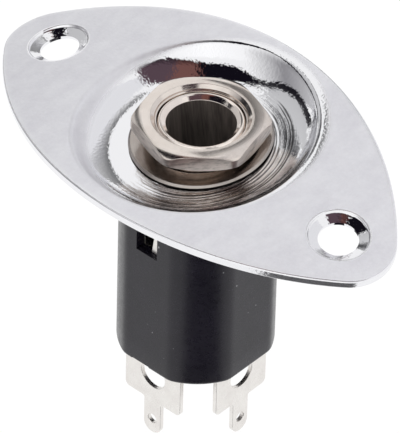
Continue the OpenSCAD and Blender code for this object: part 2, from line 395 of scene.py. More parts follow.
def sink(u, v):
    """Depth of the two countersinks: a steep lip, then a flatter seat for the screw's head."""
    lip_slope = (SINK_DEPTH - SEAT_SLOPE * (SINK_R - SINK_STEP - HOLE_R)) / SINK_STEP
    depth = 0 * u
    for hole in SCREW_HOLES:
        inward = SINK_R - np.hypot(u - hole.x, v)
        depth = depth + lip_slope * SINK_LIP * np.logaddexp(0, inward / SINK_LIP)
        depth = depth - (lip_slope - SEAT_SLOPE) * SINK_LIP * np.logaddexp(0, (inward - SINK_STEP) / SINK_LIP)
    return depth


def pressed(u, v, with_sinks=True, rim_fillet=RIM_FILLET):
    """The plate's upper side."""
    p = bent(u, v, -sink(u, v) if with_sinks else 0 * u)
    s = sunk(np.hypot(u, v), np.arctan2(v, u), rim_fillet)
    p[..., 2] += s * (FLOOR_Z - p[..., 2])
    return p


def guide(u, v):
    """The sheet that the underside is worked out from: no countersinks, and a rim soft enough to offset."""
    return pressed(u, v, False, UNDER_RIM_FILLET)


def surface_normal(f, u, v, step=2e-3):
    du = f(u + step, v) - f(u - step, v)
    dv = f(u, v + step) - f(u, v - step)
    n = np.cross(du, dv)
    return n / np.linalg.norm(n, axis=-1, keepdims=True)


def underside(u, v):
    return guide(u, v) - SHEET_T * surface_normal(guide, u, v)


def outline(count_tip=40, count_side=150):
    """The plate's outline laid flat: points and outward normals."""
    tip_x = PLATE_LEN / 2 - TIP_R
    side_r = (PLATE_W ** 2 / 4 + tip_x ** 2 - TIP_R ** 2) / (PLATE_W - 2 * TIP_R)
    side_y = side_r - PLATE_W / 2
    span = math.atan2(side_y, tip_x)
    pts = []

    def arc(cx, cy, r, a0, a1, n):
        for i in range(n):
            a = a0 + (a1 - a0) * i / n
            pts.append((cx + r * math.cos(a), cy + r * math.sin(a), math.cos(a), math.sin(a)))

    arc(tip_x, 0, TIP_R, -span, span, count_tip)
    arc(0, -side_y, side_r, span, math.pi - span, count_side)
    arc(-tip_x, 0, TIP_R, math.pi - span, math.pi + span, count_tip)
    arc(0, side_y, side_r, math.pi + span, 2 * math.pi - span, count_side)
    return np.array(pts)


def inset_from_edge(edge, p):
    """How far points laid flat are inside the outline."""
    d = np.full(len(p), 1e9)
    for k in range(0, len(edge), 2):
        d = np.minimum(d, (edge[k, 0] - p[:, 0]) * edge[k, 2] + (edge[k, 1] - p[:, 1]) * edge[k, 3])
    return d


def plate_triangles(edge):
    """Points and triangles of the plate laid flat, up to its rounded edge."""
    def clear(p, gap):
        return p[inset_from_edge(edge, p) > EDGE_R + gap]

    cols, rows = GRID_REACH
    grid = [(GRID_STEP * (i + 0.5 * (j % 2)), GRID_ROW * j)
            for i in range(-cols, cols + 1) for j in range(-rows, rows + 1)]
    grid = np.concatenate([np.array(grid), edge[::2, :2] - (EDGE_R + EDGE_ROW) * edge[::2, 2:]])
    loops = [edge[:, :2] - EDGE_R * edge[:, 2:]]
    inner = []
    for hole in HOLES:
        loops.append(circle(hole.radius, hole.steps, hole.x))
        for k, r in enumerate(hole.rings, hole.half_step_first):
            inner.append(clear(circle(r, hole.steps, hole.x, half_steps=k % 2), RING_GAP))
        grid = grid[np.hypot(grid[:, 0] - hole.x, grid[:, 1]) > hole.grid_from]
    inner.append(clear(grid, GRID_GAP))

    links, start = [], 0
    for loop in loops:
        links += [(start + i, start + (i + 1) % len(loop)) for i in range(len(loop))]
        start += len(loop)
    flat = [Vector(p) for p in np.concatenate(loops + inner)]
    verts, _, faces, *_ = delaunay_2d_cdt(flat, links, [], 0, 1e-6)
    uv = np.array([tuple(p) for p in verts])
    tri = np.array([f for f in faces if len(f) == 3])
    for hole in HOLES:
        mid = uv[tri].mean(axis=1)
        tri = tri[np.hypot(mid[:, 0] - hole.x, mid[:, 1]) > hole.radius * math.cos(math.pi / hole.steps)]
    return uv, tri


def add_plate_edge(shell, edge):
    """The plate's edge: a rounded upper corner, a straight side and a small lower corner."""
    prof, inward = rounded([(-EDGE_R, 0, 0), (0, 0, EDGE_R * 0.999), (0, -SHEET_T, UNDER_R),
                            (-EDGE_R, -SHEET_T, 0)], 6)
    rows_p, rows_n = [], []
    for (d, n), (nd, nn) in zip(prof, -inward):
        q = edge[:, :2] + d * edge[:, 2:]
        rows_p.append(bent(q[:, 0], q[:, 1], n))
        a = q[:, 0] / BEND_R
        up = np.stack([np.sin(a), 0 * a, np.cos(a)], -1)
        along = np.stack([np.cos(a), 0 * a, -np.sin(a)], -1)
        side = along * edge[:, 2:3] + np.array([0, 1, 0]) * edge[:, 3:4]
        rows_n.append(nd * side + nn * up)
    shell.grid(np.array(rows_p), np.array(rows_n), close_cols=True, flip=True)


def make_plate(material):
    edge = outline()
    uv, tri = plate_triangles(edge)
    u, v = uv.T
    shell = Shell()
    shell.add(pressed(u, v), surface_normal(pressed, u, v), tri)
    shell.add(underside(u, v), -surface_normal(guide, u, v), tri[:, ::-1])
    add_plate_edge(shell, edge)
    for hole in HOLES:
        ring = circle(hole.radius, hole.steps, hole.x)
        inward = at_height(-circle(1.0, hole.steps), 0)
        shell.grid(np.stack([pressed(*ring.T), underside(*ring.T)]), np.stack([inward, inward]), close_cols=True)
    me = shell.mesh("pressed_plate")
    # "rimmed" is 1 on the rounded edge
    at = vertices(me)
    flat = np.stack([BEND_R * np.arctan2(at[:, 0], at[:, 2] - CROWN_Z + BEND_R), at[:, 1]], -1)
    mark(me, "rimmed", np.clip((EDGE_R + 0.05 - inset_from_edge(edge, flat)) / 0.1, 0, 1))
    plate = place("pressed_plate", me, material)
    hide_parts("jack_plate")
    return plate


# Washer, nut and bushing

def make_washer(material):
    shell = Shell()
    # Its outer edge is chamfered above and undercut below
    lathe(shell, [(WASHER_HOLE_R, 0.0, 0), (WASHER_R - UNDERCUT, 0.0, 0.05), (WASHER_R, UNDERCUT_TOP, 0.03),
                  (WASHER_R - WASHER_CHAMFER, WASHER_T, 0.08), (WASHER_HOLE_R, WASHER_T, 0.05),
                  (WASHER_HOLE_R, 0.0, 0)], WASHER_STEPS)
    me = shell.mesh("flat_washer_ring")
    # "deep" is 1 on the underside and in the undercut, where the material paints shade
    mark(me, "deep", (vertices(me)[:, 2] < UNDERCUT_TOP - 0.012).astype(float))
    me.transform(Matrix.Translation(Vector(WASHER_AT) * MM))
    ob = place("flat_washer_ring", me, material)
    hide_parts("flat_washer")
    return ob


def hexagon(af, corner_r, steps_flat=10, steps_corner=8):
    """Points and normals of a hexagon with rounded corners, starting at a corner."""
    half = af / 2
    reach = (half - corner_r) / math.cos(math.radians(30))
    run = (half - corner_r) * math.tan(math.radians(30))
    pts = []
    for k in range(6):
        corner_a, flat_a = math.radians(60 * k), math.radians(60 * k + 30)
        cx, cy = reach * math.cos(corner_a), reach * math.sin(corner_a)
        for i in range(steps_corner):
            a = corner_a + math.radians(60) * ((i / steps_corner) - 0.5)
            pts.append((cx + corner_r * math.cos(a), cy + corner_r * math.sin(a), math.cos(a), math.sin(a)))
        nx, ny = math.cos(flat_a), math.sin(flat_a)
        for i in range(steps_flat):
            t = -run + 2 * run * i / steps_flat
            pts.append((half * nx - t * ny, half * ny + t * nx, nx, ny))
    return np.array(pts)


def nut_section(reach):
    """Half section of the nut where its outline is reach away from the axis: points and normals."""
    fall = (reach - NUT_FACE_R) * math.tan(math.radians(30))
    # The upper face is domed from CROWN_R outwards, and turns down faster from SHOULDER_R
    lean = math.asin((SHOULDER_R - CROWN_R) / DOME_R)
    steep = math.asin(math.sin(lean) + (reach - SHOULDER_R) / SHOULDER_ROUND)
    half_turn = math.tan((steep - lean) / 2)
    sag = DOME_R * (1 - math.cos(lean))
    drop = sag + SHOULDER_ROUND * (math.cos(lean) - math.cos(steep))
    run = SHOULDER_ROUND * half_turn
    return rounded([
        (*NUT_WALL[0], 0), (THREAD_R + NUT_CHAMFER, NUT_LOW, 0.03), (NUT_FACE_R, NUT_LOW, 0.12),
        (reach, NUT_LOW + fall, 0.08), (reach, NUT_PROUD - drop, 0.05),
        (SHOULDER_R + run * math.cos(lean), NUT_PROUD - sag - run * math.sin(lean), (run - 0.05) / half_turn),
        (CROWN_R + DOME_R * math.tan(lean / 2), NUT_PROUD, DOME_R * 0.98),
        (LIP_R + 0.53, NUT_PROUD, 0.07), (LIP_R + 0.21, 0.16, 0.02), (LIP_R + 0.20, 0.02, 0),
        (LIP_R + 0.10, 0.07, 0.02), (LIP_R, 0.0, 0.03), (LIP_R, -0.10, 0.02), (*NUT_WALL[1], 0)], 6)


def make_nut(material):
    sides = hexagon(NUT_AF, NUT_CORNER)
    reaches = np.hypot(sides[:, 0], sides[:, 1])
    rows_p, rows_n = [], []
    for x, y, nx, ny in sides:
        reach = math.hypot(x, y)
        rx, ry = x / reach, y / reach
        p, n = [], []
        for (r, h), (nr, nh) in zip(*nut_section(reach)):
            p.append((r * rx, r * ry, h))
            # The sides have the hexagon's normals, and the faces a turned surface's
            w = min(max((nr - 0.5) / 0.5, 0.0), 1.0)
            n.append((nr * (rx + (nx - rx) * w), nr * (ry + (ny - ry) * w), nh))
        rows_p.append(p)
        rows_n.append(n)
    shell = Shell()
    shell.grid(np.array(rows_p), np.array(rows_n), close_rows=True, flip=True)
    angles = np.arctan2(sides[:, 1], sides[:, 0])
    wall = np.stack([at_height(r * unit_circle(angles), h) for r, h in NUT_WALL])
    inward = at_height(-unit_circle(angles), 0)
    shell.grid(wall, np.stack([inward, inward]), close_cols=True, flip=True)
    me = shell.mesh("hex_nut_body")
    # The mark is 1 on the sides, and rises over the shoulder: there the nut is rougher, and its colour carries
    # streaks and painted shade
    at = vertices(me)
    r = np.hypot(at[:, 0], at[:, 1])
    order = np.argsort(angles)
    reach = np.interp(np.arctan2(at[:, 1], at[:, 0]), angles[order], reaches[order], period=2 * math.pi)
    mark(me, "dull_and_shaded", np.where(r > reach - 0.02, 1.0, 0.30 * np.clip((r - SHOULDER_R) / 0.3, 0.0, 1.0)))
    me.transform(about_z(NUT_TURN))
    ob = place("hex_nut_body", on_jack(me), material)
    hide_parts("hex_nut")
    return ob


def thread_radius(h, a):
    """Radius of the thread at a height and an angle; its groove runs out at both ends."""
    wave = np.abs(((h / THREAD_PITCH - a / (2 * np.pi)) % 1.0) - 0.5) * 2
    cut = np.clip((0.5 - wave) * THREAD_FLANK, 0, 1)
    above, below = THREAD_RUN_OUT
    fade = np.clip((-THREAD_CHAMFER - h) / above, 0, 1) * np.clip((h + NECK_LEN) / below, 0, 1)
    return THREAD_R - THREAD_DEPTH * cut * fade


def make_bushing(material):
    shell = Shell()
    h = np.linspace(-THREAD_CHAMFER, -NECK_LEN, 96)[:, None]
    a = turns(BUSHING_STEPS)[None, :]
    step = 0.004
    r = thread_radius(h, a)
    dr_dh = (thread_radius(h + step, a) - thread_radius(h - step, a)) / (2 * step)
    dr_da = (thread_radius(h, a + step) - thread_radius(h, a - step)) / (2 * step)
    ca, sa = np.cos(a) + 0 * h, np.sin(a) + 0 * h
    p = np.stack([r * ca, r * sa, h + 0 * a], -1)
    n = np.stack([ca + sa * dr_da / r, sa - ca * dr_da / r, -dr_dh], -1)
    shell.grid(p, n, close_cols=True, flip=True)
    # Mouth and bore
    lathe(shell, [(THREAD_R, -THREAD_CHAMFER, 0), (THREAD_R - THREAD_CHAMFER, 0.0, 0.05), (RING_R, 0.0, 0.2),
                  (LEAD_R, LEAD_TOP, 0.12), (BORE_R, -MOUTH_DEPTH, 0.07), (BORE_R, -TUBE_END, 0)], BUSHING_STEPS)
    # Flange and tail
    lathe(shell, [(BORE_R, -TUBE_END, 0), (THREAD_R, -TUBE_END, 0.1), (THREAD_R, -NECK_LEN - FLANGE_T, 0),
                  (FLANGE_R, -NECK_LEN - FLANGE_T, 0.08), (FLANGE_R, -NECK_LEN, 0.08),
                  (THREAD_R, -NECK_LEN, 0)], BUSHING_STEPS)
    me = shell.mesh("bushing_tube")
    # "deep" is 1 in the bore, where the material paints shade
    at = vertices(me)
    inside = np.hypot(at[:, 0], at[:, 1]) < BORE_R + 0.02
    mark(me, "deep", (inside & (at[:, 2] < -(MOUTH_DEPTH + 0.02))).astype(float))
    ob = place("bushing_tube", on_jack(me), material)
    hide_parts("threaded_bushing")
    return ob


# Housing

def housing_section():
    """Round body with four flats, the joins softened: points and outward normals."""
    a = turns(HOUSING_STEPS)

    def raw(t):
        off = (t + np.pi / 4) % (np.pi / 2) - np.pi / 4
        return np.minimum(HOUSING_R, FLATS_HALF / np.cos(off))

    offsets = np.linspace(-1, 1, 21)
    weight = np.cos(offsets * np.pi / 2) ** 2

    def soft(t):
        return sum(w * raw(t + o * FLATS_BLEND) for o, w in zip(offsets, weight)) / weight.sum()

    r = soft(a)
    slope = (soft(a + 1e-4) - soft(a - 1e-4)) / 2e-4
    nx = np.cos(a) + np.sin(a) * slope / r
    ny = np.sin(a) - np.cos(a) * slope / r
    length = np.hypot(nx, ny)
    return np.stack([r * np.cos(a), r * np.sin(a)], -1), np.stack([nx / length, ny / length], -1)


def cutter_box(x, y, z):
    """A box between the given limits, in millimetres in the jack's own axes."""
    corners = [(i, j, k) for i in x for j in y for k in z]
    faces = [(0, 1, 3, 2), (4, 6, 7, 5), (0, 4, 5, 1), (2, 3, 7, 6), (0, 2, 6, 4), (1, 5, 7, 3)]
    me = bpy.data.meshes.new("cutter")
    me.from_pydata([tuple(Vector(c) * MM) for c in corners], [], faces)
    return me


def housing_cuts():
    """The window and the blade's slot in both flats, the tip arm's slot and the notch at the sleeve's flat."""
    outside = HOUSING_R + 1
    slot_z = (-JACK_LEN - 1, -JACK_LEN + SLOT_H)
    window = ((STRIP_X - 0.01, outside), WINDOW_Y, WINDOW_Z)
    slot = ((STRIP_X - STRIP_T, STRIP_X), (-SLOT_HALF, SLOT_HALF), slot_z)
    arm_slot = ((0, STRIP_X - STRIP_T - ARM_SLOT_GAP), (-ARM_SLOT_HALF, ARM_SLOT_HALF), slot_z)
    notch = ((STRIP_X + 0.005, outside), NOTCH_Y, (-JACK_LEN - 1, -JACK_LEN + NOTCH_H))
    cuts = []
    for turn, own_cut in ((FLATS_TURN, arm_slot), (FLATS_TURN - math.pi / 2, notch)):
        for limits in (window, slot, own_cut):
            me = cutter_box(*limits)
            me.transform(about_z(turn))
            cuts.append(me)
    return cuts


def make_housing(material):
    steps = HOUSING_STEPS
    section, outward = housing_section()
    around = circle(1.0, steps)
    cavity_half = FLATS_HALF - WALL_T
    cavity = np.minimum(CAVITY_R, cavity_half / np.abs(around).max(axis=1))[:, None] * around
    prof, _ = rounded([(-1, -NECK_LEN, 0), (0, -NECK_LEN, HOUSING_TOP_ROUND), (0, -JACK_LEN, HOUSING_END_ROUND),
                       (-2, -JACK_LEN, 0)], 6)
    top_round, end_round = prof[1:8], prof[8:15]
    side = np.linspace(-NECK_LEN - HOUSING_TOP_ROUND, -JACK_LEN + HOUSING_END_ROUND, 11)[1:-1]
    rows = [(THREAD_R * around, -CAVITY_TOP), (THREAD_R * around, -NECK_LEN - FLANGE_T),
            (FLANGE_R * around, -NECK_LEN - FLANGE_T), (FLANGE_R * around, -NECK_LEN)]
    rows += [(section + d * outward, h) for d, h in top_round]
    rows += [(section, h) for h in side]
    rows += [(section + d * outward, h) for d, h in end_round]
    rows += [(END_HOLE_R * around, -JACK_LEN), (END_HOLE_R * around, -JACK_LEN + END_WALL_T),
             (cavity, -JACK_LEN + END_WALL_T), (cavity, -CAVITY_TOP)]
    points = np.concatenate([at_height(xy, h) for xy, h in rows])
    faces = []
    for i in range(len(rows)):
        a, b = i * steps, (i + 1) % len(rows) * steps
        faces += [(a + j, b + j, b + (j + 1) % steps, a + (j + 1) % steps) for j in range(steps)]
    me = bpy.data.meshes.new("housing_body")
    me.from_pydata((points * MM).tolist(), [], faces)
    me.transform(about_z(FLATS_TURN))
    ob = place("housing_body", me, material)
    cutters = []
    for i, cut in enumerate(housing_cuts()):
        cutter = new_object(f"cutter_{i}", cut)
        mod = ob.modifiers.new(f"cut_{i}", "BOOLEAN")
        mod.operation = "DIFFERENCE"
        mod.solver = "EXACT"
        mod.object = cutter
        cutters.append(cutter)
    me = evaluated(ob)
    ob.modifiers.clear()
    ob.data = me
    me.materials.clear()
    me.materials.append(material)
    for cutter in cutters:
        bpy.data.objects.remove(cutter)
    shade(ob, HOUSING_SHARP, 60)
    on_jack(me)
    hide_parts("barrel_housing")
    return ob


# Contacts

def sheet_metal(name, loops, thickness, bevel):
    """Flat stamped sheet with holes, its edges slightly rounded, centred on z = 0."""
    cu = bpy.data.curves.new(name, "CURVE")
    cu.dimensions = "2D"
    cu.fill_mode = "BOTH"
    for pts in loops:
        sp = cu.splines.new("POLY")
        sp.points.add(len(pts) - 1)
        for i, p in enumerate(pts):
            sp.points[i].co = (p[0] * MM, p[1] * MM, 0, 1)
        sp.use_cyclic_u = True
    cu.extrude = (thickness / 2 - bevel) * MM
    cu.bevel_depth = bevel * MM
    cu.bevel_resolution = 2
    cu.offset = -bevel * MM
    ob = new_object(name, cu)
    me = evaluated(ob)
    bpy.data.objects.remove(ob)
    joined = bmesh.new()
    joined.from_mesh(me)
    bmesh.ops.remove_doubles(joined, verts=joined.verts, dist=1e-4 * MM)
    joined.to_mesh(me)
    joined.free()
    return me


def prism(points, y_mid, width, bevel):
    """A profile in the X-Z plane swept along Y, its edges slightly rounded."""
    n = len(points)
    me = bpy.data.meshes.new("prism")
    verts = [(x * MM, (y_mid + s * width / 2) * MM, z * MM) for s in (-1, 1) for x, z in points]
    faces = [tuple(range(n)), tuple(range(2 * n - 1, n - 1, -1))]
    faces += [((i + 1) % n, i, n + i, n + (i + 1) % n) for i in range(n)]
    me.from_pydata(verts, [], faces)
    ob = new_object("prism", me)
    mod = ob.modifiers.new("edges", "BEVEL")
    mod.width = bevel * MM
    mod.segments = 2
    mod.limit_method = "ANGLE"
    mod.angle_limit = math.radians(50)
    me = evaluated(ob)
    bpy.data.objects.remove(ob)
    return me


def blade_loops():
    """Outline, round hole, lug's hole and latch opening of the stamped strip."""
    right = [(LUG_HALF, LUG_END, LUG_HALF * 0.999), (LUG_HALF, BLADE_END, 0.25), (BLADE_HALF, BLADE_END, 0.55),
             (BLADE_HALF, BLADE_TOP, 0), (STRIP_HALF, BLADE_TOP + 0.5, 0), (STRIP_HALF, STRIP_TOP, 0.2)]
    left = [(-x, z, r) for x, z, r in right[::-1]]
    corners = left[2:] + right + left[:2]
    strip, _ = rounded(corners, 8, closed=True)
    latch = [(-1.6, -12.1), (1.2, -12.1), (1.2, -9.6), (-1.6, -9.6)]
    return [strip.tolist(), circle(BLADE_HOLE_R, 48, y=BLADE_HOLE_Z).tolist(),
            circle(LUG_HOLE_R, 32, y=LUG_HOLE_Z).tolist(), latch]


def strip_parts():
    """The stamped strip with its latch tongue, leaving its flat along +X."""
    blade = sheet_metal("blade", blade_loops(), STRIP_T, BLADE_BEVEL)
    mid = (STRIP_X - STRIP_T / 2) * MM
    blade.transform(Matrix(((0, 0, 1, mid), (1, 0, 0, 0), (0, 1, 0, 0), (0, 0, 0, 1))))
    root, end = TONGUE_Z
    tongue = prism([(STRIP_X - STRIP_T, root), (STRIP_X, root), (STRIP_X + TONGUE_OUT, end),
                    (STRIP_X + TONGUE_OUT - STRIP_T, end)], TONGUE_Y, TONGUE_W, BLADE_BEVEL)
    return [blade, tongue]


def join_meshes(name, parts):
    """One mesh from several, in the same axes."""
    obs = [new_object(f"{name}_{i}", me) for i, me in enumerate(parts)]
    with bpy.context.temp_override(active_object=obs[0], selected_editable_objects=obs, object=obs[0]):
        bpy.ops.object.join()
    me = obs[0].data
    me.name = name
    bpy.data.objects.remove(obs[0])
    return me


def finish_contact(name, inner_profile, turn, material, node):
    """Joins the strip with the part of it that lies inside the housing."""
    inner = prism(inner_profile.tolist(), 0.0, ARM_W, ARM_BEVEL)
    me = join_meshes(name, strip_parts() + [inner])
    me.transform(about_z(turn))
    ob = place(name, me, material)
    shade(ob, STRIP_SHARP, 50)
    on_jack(me)
    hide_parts(node)
    return ob


def make_tip_contact(material):
    """Its spring arm reaches into the line of the bore."""
    t = STRIP_T
    (knee_x, knee_z), (tip_x, tip_z) = ARM_KNEE, ARM_TIP
    arm, _ = rounded([
        (STRIP_X, ARM_LAP, 0), (STRIP_X, STRIP_TOP + t, 0.42), (ARM_X - t, STRIP_TOP + t, 0.42),
        (ARM_X - t, ARM_BEND_Z, 3), (knee_x - t, knee_z, 0.6), (tip_x - t, tip_z, 0.1), (tip_x, tip_z, 0.1),
        (knee_x, knee_z, 1.0), (ARM_X, ARM_BEND_Z, 3.4), (ARM_X, STRIP_TOP, 0.15),
        (STRIP_X - t, STRIP_TOP, 0.1), (STRIP_X - t, ARM_LAP, 0)], 6, closed=True)
    return finish_contact("tip_strip", arm, FLATS_TURN, material, "tip_contact")


def make_sleeve_contact(material):
    """Its tab lies under the end of the bushing's tail."""
    t = STRIP_T
    tab, _ = rounded([
        (STRIP_X, ARM_LAP, 0), (STRIP_X, -TUBE_END, 0.4), (TAB_X, -TUBE_END, 0.05), (TAB_X, -TUBE_END - t, 0.05),
        (STRIP_X - t, -TUBE_END - t, 0.1), (STRIP_X - t, ARM_LAP, 0)], 6, closed=True)
    return finish_contact("sleeve_strip", tab, FLATS_TURN - math.pi / 2, material, "sleeve_contact")


# Materials

class Nodes:
    """Builds the nodes of a material or of the world."""

    def __init__(self, owner, output="ShaderNodeOutputMaterial"):
        owner.use_nodes = True
        self.owner = owner
        self.tree = owner.node_tree
        self.tree.nodes.clear()
        self.surface = self.node(output, {}).inputs["Surface"]

    def feed(self, socket, value):
        """Links a socket to a node's output, or sets its value."""
        if isinstance(value, bpy.types.NodeSocket):
            self.tree.links.new(value, socket)
        else:
            socket.default_value = value

    def node(self, kind, inputs, **props):
        n = self.tree.nodes.new(kind)
        for key, value in props.items():
            setattr(n, key, value)
        for key, value in inputs.items():
            self.feed(n.inputs[key], value)
        return n

    def attribute(self, name):
        return self.node("ShaderNodeAttribute", {}, attribute_name=name).outputs["Fac"]


class Surface(Nodes):
    """A material with one Principled shader, whose patterns lie in the object's own axes."""

    def __init__(self, name):
        super().__init__(bpy.data.materials.new(name))
        self.bsdf = self.node("ShaderNodeBsdfPrincipled", {})
        self.feed(self.surface, self.bsdf.outputs["BSDF"])
        self.coord = self.node("ShaderNodeTexCoord", {}).outputs["Object"]

    def set(self, name, value):
        self.feed(self.bsdf.inputs[name], value)

    def math(self, operation, *values):
        return self.node("ShaderNodeMath", dict(enumerate(values)), operation=operation).outputs[0]

    def vector(self, operation, *values):
        n = self.node("ShaderNodeVectorMath", dict(enumerate(values)), operation=operation)
        return n.outputs["Value" if operation in ("LENGTH", "DISTANCE") else "Vector"]

    def scaled(self, colour, factor):
        return self.node("ShaderNodeVectorMath", {0: colour, "Scale": factor}, operation="SCALE").outputs[0]

    def flat(self, point):
        return self.vector("MULTIPLY", point, (1, 1, 0))

    def combined(self, **axes):
        return self.node("ShaderNodeCombineXYZ", axes).outputs["Vector"]

    def noise(self, scale, detail, roughness, stretch=None, source=None):
        at = self.coord if source is None else source
        if stretch is not None:
            at = self.node("ShaderNodeMapping", {"Scale": stretch, "Vector": at}).outputs["Vector"]
        return self.node("ShaderNodeTexNoise", {"Scale": scale, "Detail": detail, "Roughness": roughness,
                                                "Vector": at}).outputs["Fac"]

    def ramp(self, value, stops):
        r = self.node("ShaderNodeValToRGB", {"Fac": value})
        for el, (pos, colour) in zip(r.color_ramp.elements, stops):
            el.position = pos
            el.color = (*colour, 1.0)
        return r.outputs["Color"]

    def map_range(self, value, a, b, c, d):
        return self.node("ShaderNodeMapRange", {"From Min": a, "From Max": b, "To Min": c, "To Max": d,
                                                "Value": value}).outputs["Result"]

    def spread(self, noise, low, high):
        """The middle part of a noise, spread over a range."""
        return self.map_range(noise, 0.3, 0.7, low, high)

    def mix(self, factor, a, b, blend="MIX"):
        return self.node("ShaderNodeMix", {"Factor": factor, "A": a, "B": b}, data_type="RGBA",
                         blend_type=blend).outputs["Result"]

    def bump(self, height, strength, distance, before=None):
        b = self.node("ShaderNodeBump", {"Strength": strength, "Distance": distance, "Height": height})
        if before is not None:
            self.feed(b.inputs["Normal"], before)
        return b.outputs["Normal"]


def times(values, factor):
    return tuple(factor * v for v in values)


def chrome_material():
    m = Surface("chrome_plating")
    m.set("Metallic", 1.0)
    # The pressed dish and the countersinks are bright, the plate around them is satin
    x, y = DISH_BRIGHT_AT
    from_dish = m.vector("LENGTH", m.flat(m.vector("ADD", m.coord, (-x * MM, -y * MM, 0))))
    satin = m.map_range(from_dish, *times(DISH_BRIGHT_R, MM), 0.0, 1.0)
    flat = m.flat(m.coord)
    for hole in SCREW_HOLES:
        from_hole = m.vector("DISTANCE", flat, (BEND_R * math.sin(hole.x / BEND_R) * MM, 0, 0))
        satin = m.math("MULTIPLY", satin, m.map_range(from_hole, *times(SINK_BRIGHT_R, MM), 0.0, 1.0))
    satin = m.math("MULTIPLY", satin, m.map_range(m.attribute("rimmed"), 0, 1, 1.0, 0.25))
    cloud = m.noise(420, 5, 0.7, stretch=(1.0, 0.6, 1.0))
    pale = m.ramp(cloud, [(0.30, (0.76, 0.755, 0.80)), (0.70, (0.85, 0.85, 0.885))])
    along = m.node("ShaderNodeSeparateXYZ", {0: m.coord}).outputs["X"]
    # The satin plate's colour darkens towards its -X end
    darker_towards_minus_x = m.map_range(along, -20 * MM, 12 * MM, 0.91, 1.02)
    grain = m.spread(m.noise(2600, 3, 0.7), 0.975, 1.025)
    colour = m.mix(satin, (0.86, 0.86, 0.88, 1), m.scaled(pale, m.math("MULTIPLY", darker_towards_minus_x, grain)))
    gloss = m.spread(m.noise(900, 3, 0.5), 0.03, 0.06)
    m.set("Roughness", m.math("MULTIPLY_ADD", satin, 0.38, gloss))
    m.set("Metallic", m.map_range(satin, 0, 1, 1.0, 0.55))
    wave = m.bump(m.noise(300, 2, 0.5), 0.35, 0.02 * MM)
    # Drawn rings in the low part of the dish, as bumps, with painted dark reflection lines in the colour
    # along them; both strongest on its near right side
    radius = m.vector("LENGTH", flat)
    drift = m.spread(m.noise(260, 2, 0.5), 0.0, 0.13 * MM)
    rings = m.noise(3300, 3, 0.7, source=m.combined(X=radius, Y=drift))
    low_part = m.map_range(radius, *times(RINGS_AND_PAINTED_LINES_R, MM), 1.0, 0.0)
    right_part = m.map_range(along, -4 * MM, 3 * MM, 0.0, 1.0)
    rings_and_painted_lines = m.math("MULTIPLY", rings, m.math("MULTIPLY", low_part, right_part))
    wave = m.bump(rings_and_painted_lines, 1.0, 0.04 * MM, wave)
    # Painted reflection: the colour darkens to 0.18 along the rings
    m.set("Base Color", m.scaled(colour, m.map_range(rings_and_painted_lines, 0.50, 0.56, 1.0, 0.18)))
    m.set("Normal", m.bump(m.noise(3400, 2, 0.5), 0.6, 0.02 * MM, wave))
    return m.owner


def nickel_material(name, low, high, pale=1.0, hollow_shade=1.0):
    """Warm nickel with turning marks around the jack's axis; low and high bound its roughness.

    pale scales its tone; the last argument scales the painted shade in its bore or undercut, and the reflection
    there.
    """
    m = Surface(name)
    m.set("Metallic", 1.0)
    radius = m.vector("LENGTH", m.flat(m.vector("SUBTRACT", m.coord, tuple(MOUTH * MM))))
    turned = m.noise(9000, 3, 0.65, source=m.combined(X=radius))
    marks = m.math("MULTIPLY_ADD", turned, 0.45, m.noise(420, 4, 0.6))
    tone = m.ramp(marks, [(0.45, times((0.80, 0.715, 0.655), pale)), (0.98, times((0.93, 0.86, 0.805), pale))])
    stain = m.ramp(m.noise(1500, 3, 0.7), [(0.20, (0.72, 0.70, 0.68)), (0.32, (1, 1, 1))])
    streaks_and_shade = m.ramp(m.noise(700, 4, 0.7, stretch=(1, 1, 5)),
                    [(0.35, (0.60, 0.59, 0.58)), (0.54, (1.06, 1.05, 1.035))])
    shadow = m.ramp(m.noise(1300, 4, 0.7, stretch=(1, 1, 0.05)),
                    [(0.35, times((0.075, 0.063, 0.057), hollow_shade)), (0.65, times((0.23, 0.195, 0.175), hollow_shade))])
    deep, dull_and_shaded = m.attribute("deep"), m.attribute("dull_and_shaded")
    # On the nut's sides the tone is darkened by streaks and by painted shade
    sides = m.mix(dull_and_shaded, m.mix(0.5, tone, stain, "MULTIPLY"), streaks_and_shade, "MULTIPLY")
    # In the bore or undercut the colour is painted shade
    m.set("Base Color", m.mix(deep, sides, shadow))
    m.set("Metallic", m.map_range(deep, 0, 1, 1.0, 0.45))
    m.set("Specular IOR Level", m.map_range(deep, 0, 1, 0.5, 0.5 * hollow_shade))
    fine = m.spread(m.noise(2500, 3, 0.6), low, high)
    m.set("Roughness", m.math("MULTIPLY_ADD", deep, 0.40, m.math("MULTIPLY_ADD", dull_and_shaded, 0.20, fine)))
    m.set("Normal", m.bump(m.noise(1200, 3, 0.6), 0.12, 0.01 * MM, m.bump(turned, 0.5, 0.008 * MM)))
    return m.owner


def contact_material():
    m = Surface("plated_strip")
    m.set("Metallic", 1.0)
    m.set("Base Color", m.ramp(m.noise(700, 4, 0.6), [(0.3, (0.755, 0.725, 0.70)), (0.7, (0.83, 0.81, 0.78))]))
    fine = m.noise(3000, 3, 0.6, stretch=(1, 1, 0.2))
    m.set("Roughness", m.spread(fine, 0.24, 0.36))
    m.set("Normal", m.bump(fine, 0.2, 0.01 * MM))
    return m.owner


